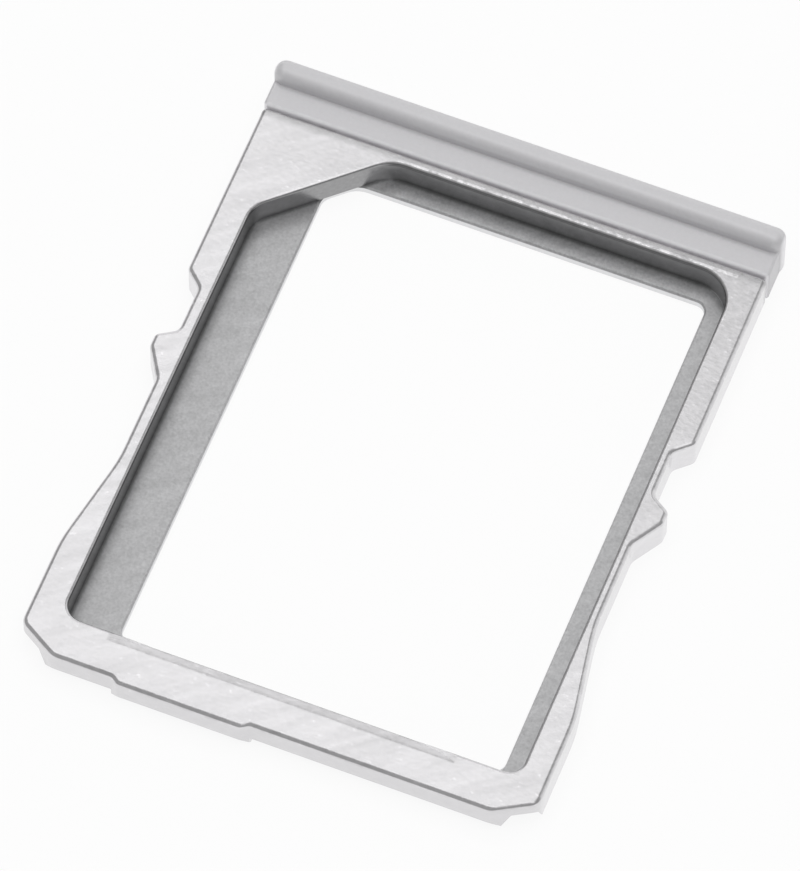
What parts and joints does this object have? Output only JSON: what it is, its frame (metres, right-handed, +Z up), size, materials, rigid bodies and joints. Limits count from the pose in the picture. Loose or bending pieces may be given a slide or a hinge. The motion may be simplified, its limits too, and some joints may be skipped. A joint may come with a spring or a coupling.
{
  "type": "sim card tray",
  "caption": "Slide-out phone card tray: a bare metal frame with a stepped pocket and a window, side detents, a cut corner for the card, and a smooth silver bezel across its outer end",
  "frame": {"origin": "middle of the underside of the whole tray", "axes": "+X runs across the tray to the right seen from above with the bezel at the back, +Y points from the leading edge to the bezel, +Z is up on the card's side"},
  "size_m": [0.014, 0.0182, 0.0016],
  "materials": {
    "frame_metal": "bare, finely mottled satin",
    "bezel_silver": "smooth silver-grey satin"
  },
  "bodies": {
    "root": {"tray_frame": "frame_metal", "bezel": "bezel_silver"}
  },
  "joints": []
}
